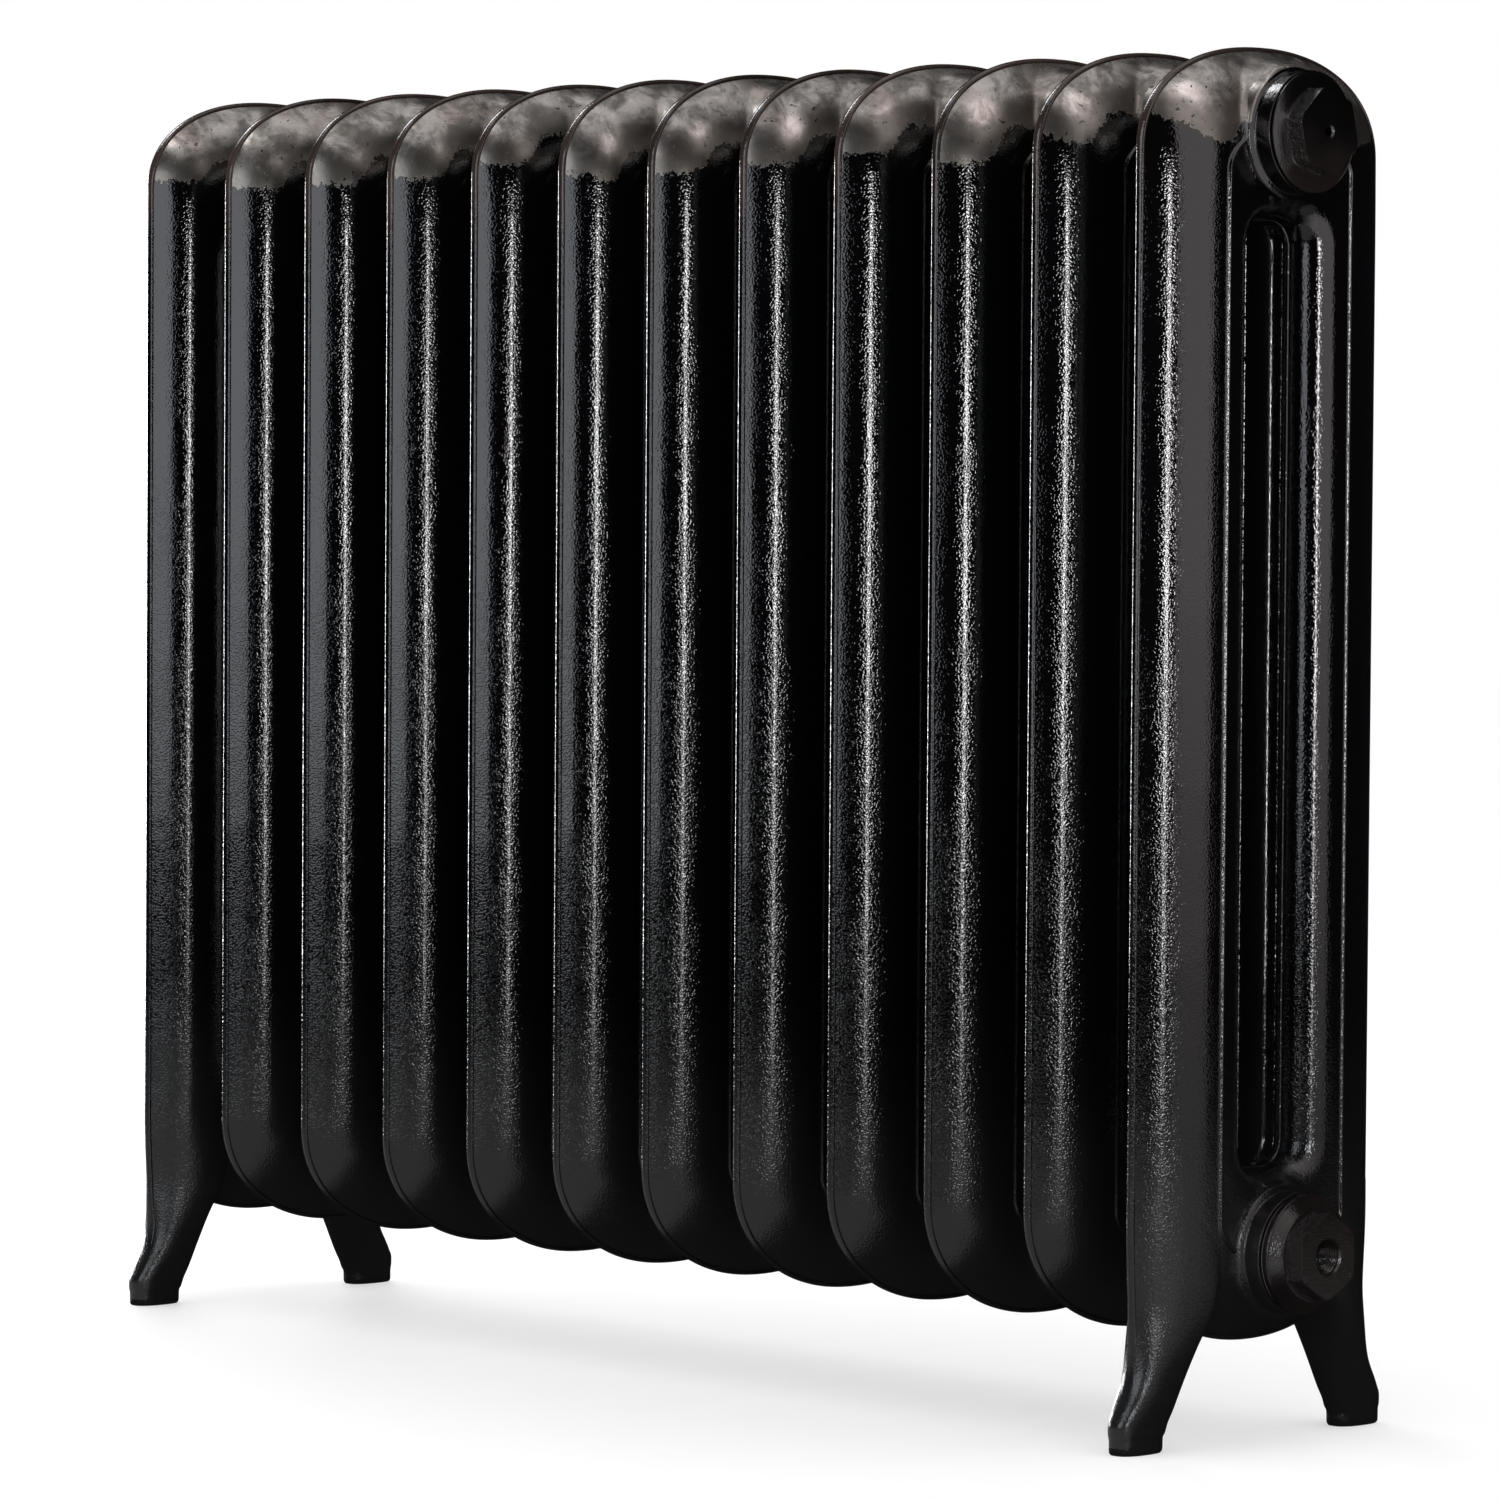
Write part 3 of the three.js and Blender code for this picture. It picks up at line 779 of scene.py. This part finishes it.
def pebble_group():
    """Fine grain of paint over cast iron: pebbles, stronger low down, on slow waves, with rare pits.

    Height is in units of the bump's depth, Shade is a slow cloud, and Low is 1 near the floor."""
    name = "Pebbled casting"
    if name in bpy.data.node_groups:
        return bpy.data.node_groups[name]
    tree, inside, outside = new_group(
        name,
        [("Size", "NodeSocketFloat", 0.0016), ("Waves", "NodeSocketFloat", 1.0),
         ("Pits", "NodeSocketFloat", 0.3)],
        [("Height", "NodeSocketFloat"), ("Shade", "NodeSocketFloat"), ("Low", "NodeSocketFloat")],
    )
    w = Wiring(tree)
    scale = w.math("DIVIDE", 1.0, inside.outputs["Size"])
    where = w.position()
    grain = w.ramp(w.noise(where, scale, 0.0), 0.32, 0.68)
    amount = w.ramp(w.noise(where, 21.0, 2.0), 0.30, 0.62, 0.6, 1.0)
    split = tree.nodes.new("ShaderNodeSeparateXYZ")
    w.link(where, split.inputs[0])
    amount = w.math("MULTIPLY", amount, w.ramp(split.outputs["Z"], 0.1, 0.6, 1.5, 0.85))
    waves = w.noise(where, 60.0, 0.0)
    pits = w.ramp(w.noise(where, 340.0, 1.0), 0.23, 0.29, 1.0, 0.0)
    height = w.math("MULTIPLY", grain, amount)
    height = w.math("ADD", height, w.math("MULTIPLY", waves, inside.outputs["Waves"]))
    height = w.math("SUBTRACT", height, w.math("MULTIPLY", pits, inside.outputs["Pits"]))
    w.link(height, outside.inputs["Height"])
    shade = w.noise(where, 9.0, 3.0)
    low = w.math("ADD", split.outputs["Z"], w.math("MULTIPLY", w.math("SUBTRACT", shade, 0.5), 0.12))
    w.link(shade, outside.inputs["Shade"])
    w.link(w.ramp(low, 0.08, 0.24, 1.0, 0.0), outside.inputs["Low"])
    return tree


def burnish_group():
    """Bare burnished iron above a ragged edge: a mask with black specks, cloudy colour, sheen and strokes."""
    name = "Burnished crown"
    if name in bpy.data.node_groups:
        return bpy.data.node_groups[name]
    tree, inside, outside = new_group(
        name,
        [("Level", "NodeSocketFloat", 0.0), ("Ragged", "NodeSocketFloat", 7.0),
         ("Dark", "NodeSocketColor", (0.1, 0.1, 0.1, 1)), ("Light", "NodeSocketColor", (0.4, 0.4, 0.4, 1)),
         ("Warm", "NodeSocketColor", (0.4, 0.3, 0.3, 1))],
        [("Mask", "NodeSocketFloat"), ("Color", "NodeSocketColor"), ("Roughness", "NodeSocketFloat"),
         ("Height", "NodeSocketFloat")],
    )
    w = Wiring(tree)
    where = w.position()
    broad = w.math("SUBTRACT", w.noise(where, 26.0, 3.0, 0.6), 0.5)
    fine = w.math("SUBTRACT", w.noise(where, 420.0, 3.0, 0.7), 0.5)
    edge = w.math("ADD", w.math("MULTIPLY", broad, 3.2), w.math("MULTIPLY", fine, 2.6))
    level = w.math("ADD", inside.outputs["Level"], w.math("MULTIPLY", edge, inside.outputs["Ragged"]))
    mask = w.ramp(level, -0.5, 0.6)
    specks = w.ramp(w.noise(where, 260.0, 3.0, 0.65), 0.325, 0.365)
    zones = w.ramp(w.noise(where, 22.0, 2.0), 0.42, 0.60)
    mask = w.math("MULTIPLY", mask, w.math("MAXIMUM", specks, zones))
    clouds = w.ramp(w.noise(w.position((1.0, 1.0, 0.8)), 52.0, 5.0, 0.66, 0.5), 0.38, 0.64)
    strokes = w.ramp(w.noise(w.position((1.0, 0.8, 1.3)), 120.0, 3.0, 0.6, 0.8), 0.30, 0.72)
    shifted = w.math("ADD", inside.outputs["Level"], w.math("MULTIPLY", broad, 45.0))
    zone = w.ramp(shifted, 9.0, 24.0, 0.12, 1.0)
    cloudy = w.math("ADD", w.math("MULTIPLY", clouds, 0.75), w.math("MULTIPLY", strokes, 0.25))
    tone = w.math("MULTIPLY", zone, cloudy)
    warmth = w.ramp(w.noise(where, 17.0, 2.0), 0.50, 0.66, 0.0, 0.75)
    light = w.mix(warmth, inside.outputs["Light"], inside.outputs["Warm"])
    w.link(mask, outside.inputs["Mask"])
    w.link(w.mix(tone, inside.outputs["Dark"], light), outside.inputs["Color"])
    w.link(w.blend(tone, 0.30, 0.24), outside.inputs["Roughness"])
    w.link(w.math("MULTIPLY", strokes, 0.5), outside.inputs["Height"])
    return tree


def new_material(name):
    """A material with an empty tree but for the Principled shader and the output."""
    material = bpy.data.materials.new(name)
    material.use_nodes = True
    tree = material.node_tree
    return material, Wiring(tree), tree.nodes["Principled BSDF"]


def bump(w, shader, height, depth):
    """Bump of the given depth in metres on the shader's normal."""
    node = w.tree.nodes.new("ShaderNodeBump")
    node.inputs["Distance"].default_value = depth
    w.link(height, node.inputs["Height"])
    w.link(node.outputs["Normal"], shader.inputs["Normal"])


def painted_iron(finish):
    """Gloss black paint over grained iron, rubbed bare on the crowns; near the floor a lighter paint colour is
    a painted reflection of the pale floor.
    """
    material, w, shader = new_material("painted_iron")
    grain = w.group(pebble_group(), Size=finish.pebble, Waves=1.8, Pits=0.4)
    bare = w.group(burnish_group(), Level=w.attribute("burnish"), Ragged=6.0,
                   Dark=(*finish.iron_dark, 1), Light=(*finish.iron_light, 1), Warm=(*finish.iron_warm, 1))
    rubbed = w.math("MULTIPLY", w.attribute("rubbed"), w.ramp(grain["Shade"], 0.3, 0.7, 0.3, 1.0))
    # Painted reflection: the paint colour turns lighter near the floor, standing in for the pale floor's
    # reflection.
    paint_with_floor_reflection = w.mix(grain["Low"], tuple(finish.paint), tuple(finish.floor_reflection_paint))
    paint = w.mix(rubbed, paint_with_floor_reflection, tuple(finish.rubbed))
    w.link(w.mix(bare["Mask"], paint, bare["Color"]), shader.inputs["Base Color"])
    w.link(w.math("MULTIPLY", bare["Mask"], 0.92), shader.inputs["Metallic"])
    gloss = w.blend(grain["Low"], w.ramp(grain["Shade"], 0.3, 0.7, 0.035, 0.06), 0.24)
    w.link(w.blend(bare["Mask"], gloss, bare["Roughness"]), shader.inputs["Roughness"])
    bump(w, shader, w.blend(bare["Mask"], grain["Height"], bare["Height"]), 0.00005)
    return material


def painted_fitting(finish):
    """Satin black paint on machined and cast fittings, a little grainy."""
    material, w, shader = new_material("painted_fitting")
    grain = w.group(pebble_group(), Size=0.9 * MM, Waves=0.35, Pits=0.8)
    worn = w.ramp(grain["Shade"], 0.35, 0.7)
    base = w.mix(worn, tuple(finish.paint), tuple(finish.rubbed))
    w.link(w.mix(0.75, base, tuple(finish.paint)), shader.inputs["Base Color"])
    w.link(w.ramp(grain["Shade"], 0.3, 0.7, 0.12, 0.20), shader.inputs["Roughness"])
    amount = w.ramp(w.attribute("grain"), 0.0, 1.0, 0.3, 3.0)
    bump(w, shader, w.math("MULTIPLY", grain["Height"], amount), 0.0001)
    return material


def bare_iron():
    """Machined malleable iron with turning marks and light rust."""
    material, w, shader = new_material("bare_iron")
    marks = w.noise(w.position((14.0, 1.0, 1.0)), 120.0, 2.0)
    rust = w.ramp(w.noise(w.position(), 90.0, 4.0, 0.6), 0.5, 0.7)
    w.link(w.mix(rust, (0.30, 0.29, 0.28), (0.10, 0.045, 0.025)), shader.inputs["Base Color"])
    w.link(w.math("SUBTRACT", 1.0, rust), shader.inputs["Metallic"])
    w.link(w.ramp(rust, 0.0, 1.0, 0.35, 0.8), shader.inputs["Roughness"])
    bump(w, shader, marks, 0.00006)
    return material


def fibre_board():
    """Dark compressed fibre, matt and speckled."""
    name = "fibre"
    if name in bpy.data.materials:
        return bpy.data.materials[name]
    material, w, shader = new_material(name)
    fibres = w.noise(w.position((1.0, 6.0, 6.0)), 300.0, 3.0, 0.6)
    w.link(w.mix(fibres, (0.008, 0.008, 0.009), (0.03, 0.026, 0.024)), shader.inputs["Base Color"])
    w.link(w.ramp(fibres, 0.3, 0.7, 0.65, 0.85), shader.inputs["Roughness"])
    bump(w, shader, fibres, 0.00008)
    return material


# ---------------------------------------------------------------- stage

FLOOR_HALF = 12.0
DIM_STUDIO = (0.006, 0.006, 0.007, 1)  # what glossy paint sees past the panels

# Slices of the tall lights: low and high edge, and share of the full radiance.
STRIP_SLICES = ((0.02, 0.14, 0.3), (0.14, 0.26, 0.55), (0.26, 0.38, 0.8), (0.38, 0.77, 1.0))
CARD_SLICES = ((0.02, 0.14, 0.22), (0.14, 0.24, 0.4), (0.24, 0.34, 0.6), (0.34, 0.44, 0.8), (0.44, 1.58, 1.0))

WARM, COOL, PLAIN = (1.0, 0.93, 0.94), (0.90, 0.94, 1.0), (1, 1, 1)


def around(azimuth, distance, z):
    """A point at an azimuth in degrees from the front, clockwise seen from above, round the row's middle."""
    a = math.radians(azimuth)
    return (distance * math.sin(a), -distance * math.cos(a), z)


# Panel lights: name, centre, the point it faces, width, height, its radiance setting and share of it, tint.
PANELS = (
    ("front", (0.59, -1.685, 0.95), (0.19, -0.77, 0.95), 1.07, 1.5, "front", 1.0, COOL),
    ("left_low", around(-104, 2.6, 0.45), (0, 0, 0.45), 2.4, 0.85, "left", 1.0, PLAIN),
    ("left_high", around(-82, 2.3, 3.0), (0, 0, 0.7), 1.5, 1.0, "high", 1.0, COOL),
    ("left_top", (-1.9, -0.15, 3.5), (0, 0, 0.7), 0.9, 0.7, "high", 1.3, PLAIN),
    ("floor_front", (0, -0.75, 0.004), (0, -0.75, 1), 2.6, 1.3, "floor", 1.0, PLAIN),
    ("floor_right", (1.0, 0.1, 0.004), (1.0, 0.1, 1), 0.7, 0.8, "floor", 0.6, PLAIN),
    ("spot", (0.0, -0.62, 2.6), (0.0, -0.3, 0.7), 0.8, 0.4, "spot", 1.0, PLAIN),
    ("overhead", (0, 0, 2.7), (0, 0, 0.4), 3.0, 2.4, "top", 1.0, PLAIN),
)


def panel_light(name, centre, facing, width, height, radiance, tint):
    """A rectangular area light at centre that faces a point, even in radiance, unseen by the camera."""
    data = bpy.data.lights.new(name, "AREA")
    data.shape = "RECTANGLE"
    data.size, data.size_y = width, height
    data.energy = radiance * math.pi * width * height
    data.color = tint
    lamp = bpy.data.objects.new(name, data)
    lamp.location = centre
    lamp.rotation_euler = (Vector(facing) - Vector(centre)).to_track_quat("-Z", "Y").to_euler()
    lamp.visible_camera = False
    lamp.visible_diffuse = False
    bpy.context.scene.collection.objects.link(lamp)
    return lamp


class RADIATOR_OT_stage(bpy.types.Operator):
    """Set the floor, the surroundings, the lights and the camera"""
    bl_idname = "radiator.stage"
    bl_label = "Stage"

    def execute(self, context):
        stage = context.scene.radiator_stage
        self.floor()
        self.surroundings(context.scene)
        self.lights(stage)
        self.camera(context.scene, stage)
        return {"FINISHED"}

    def floor(self):
        """A wide pale floor under the feet."""
        half = FLOOR_HALF
        mesh = bpy.data.meshes.new("floor")
        corners = [(-half, -half, 0), (half, -half, 0), (half, half, 0), (-half, half, 0)]
        mesh.from_pydata(corners, [], [(0, 1, 2, 3)])
        floor = bpy.data.objects.new("floor", mesh)
        bpy.context.scene.collection.objects.link(floor)
        floor.location.z = BOX_LOW.z
        floor.visible_glossy = False
        material, w, shader = new_material("floor_paper")
        speck = w.noise(w.position(), 40.0, 2.0)
        w.link(w.mix(speck, (0.60, 0.60, 0.60), (0.64, 0.64, 0.64)), shader.inputs["Base Color"])
        shader.inputs["Roughness"].default_value = 0.9
        shader.inputs["Specular IOR Level"].default_value = 0.1
        shader.inputs["Emission Color"].default_value = (1, 1, 1, 1)
        shader.inputs["Emission Strength"].default_value = 0.42
        mesh.materials.append(material)

    def surroundings(self, scene):
        """White where the camera looks past the object, and a dim studio for what the object reflects."""
        world = bpy.data.worlds.new("studio")
        scene.world = world
        world.use_nodes = True
        nodes, links = world.node_tree.nodes, world.node_tree.links
        nodes.clear()
        path = nodes.new("ShaderNodeLightPath")
        white, dim = nodes.new("ShaderNodeBackground"), nodes.new("ShaderNodeBackground")
        white.inputs["Color"].default_value = (1, 1, 1, 1)
        dim.inputs["Color"].default_value = DIM_STUDIO
        mix, out = nodes.new("ShaderNodeMixShader"), nodes.new("ShaderNodeOutputWorld")
        links.new(path.outputs["Is Glossy Ray"], mix.inputs[0])
        links.new(white.outputs[0], mix.inputs[1])
        links.new(dim.outputs[0], mix.inputs[2])
        links.new(mix.outputs[0], out.inputs["Surface"])

    def lights(self, stage):
        """A tall strip and a grey card at the right, each in slices, and the panels of the table.

        Only the overhead panel lights the floor; the others are there for what the paint reflects."""
        for low, high, share in STRIP_SLICES:
            z, tall, glow = (low + high) / 2, high - low, stage.strip * share
            panel_light("strip", (1.79, -0.876, z), (0, -0.07, z), 0.115, tall, glow, PLAIN)
        for low, high, share in CARD_SLICES:
            z, tall, glow = (low + high) / 2, high - low, stage.card * share
            panel_light("card", (0.75, -0.055, z), (0, -0.055, z), 0.28, tall, glow, WARM)
        for name, centre, facing, width, tall, setting, share, tint in PANELS:
            lamp = panel_light(name, centre, facing, width, tall, getattr(stage, setting) * share, tint)
            lamp.visible_diffuse = name == "overhead"

    def camera(self, scene, stage):
        """The camera on its long lens, aimed at a point above the floor, with a slight roll."""
        az, el, roll = stage.azimuth, stage.elevation, stage.roll
        back = Vector((math.sin(az) * math.cos(el), -math.cos(az) * math.cos(el), math.sin(el)))
        right = Vector((math.cos(az), math.sin(az), 0))
        up = back.cross(right)
        across = right * math.cos(roll) + up * math.sin(roll)
        upright = up * math.cos(roll) - right * math.sin(roll)
        aim = Vector(((BOX_LOW.x + BOX_HIGH.x) / 2 + stage.aim_x, 0, BOX_LOW.z + stage.aim_z))
        data = bpy.data.cameras.new("camera")
        data.lens, data.sensor_width = stage.lens, 36
        data.clip_start, data.clip_end = 0.1, 60
        camera = bpy.data.objects.new("camera", data)
        turned = Matrix((across, upright, back)).transposed().to_4x4()
        camera.matrix_world = Matrix.Translation(aim + back * stage.distance) @ turned
        scene.collection.objects.link(camera)
        scene.camera = camera
        scene.view_settings.view_transform = "Standard"


# ---------------------------------------------------------------- add-on

class RADIATOR_PT_panel(bpy.types.Panel):
    """Lists the radiator's steps"""
    bl_label = "Radiator"
    bl_idname = "RADIATOR_PT_panel"
    bl_space_type = "VIEW_3D"
    bl_region_type = "UI"
    bl_category = "Radiator"

    def draw(self, context):
        for step in STEPS:
            self.layout.operator(step.bl_idname)


STEPS = (RADIATOR_OT_sections, RADIATOR_OT_joints, RADIATOR_OT_fittings, RADIATOR_OT_gaskets,
         RADIATOR_OT_stage)
GROUPS = {"radiator_shape": RadiatorShape, "radiator_finish": RadiatorFinish, "radiator_stage": RadiatorStage}


def register():
    """Register the classes and hang the property groups on the scene."""
    for cls in (*GROUPS.values(), *STEPS, RADIATOR_PT_panel):
        bpy.utils.register_class(cls)
    for name, group in GROUPS.items():
        setattr(bpy.types.Scene, name, PointerProperty(type=group))


def unregister():
    """Take off what register put on."""
    for name in GROUPS:
        delattr(bpy.types.Scene, name)
    for cls in reversed((*GROUPS.values(), *STEPS, RADIATOR_PT_panel)):
        bpy.utils.unregister_class(cls)


def main():
    """Register, build every piece and the stage."""
    register()
    for step in STEPS:
        getattr(bpy.ops.radiator, step.bl_idname.split(".")[1])()


if __name__ == "__main__":
    main()
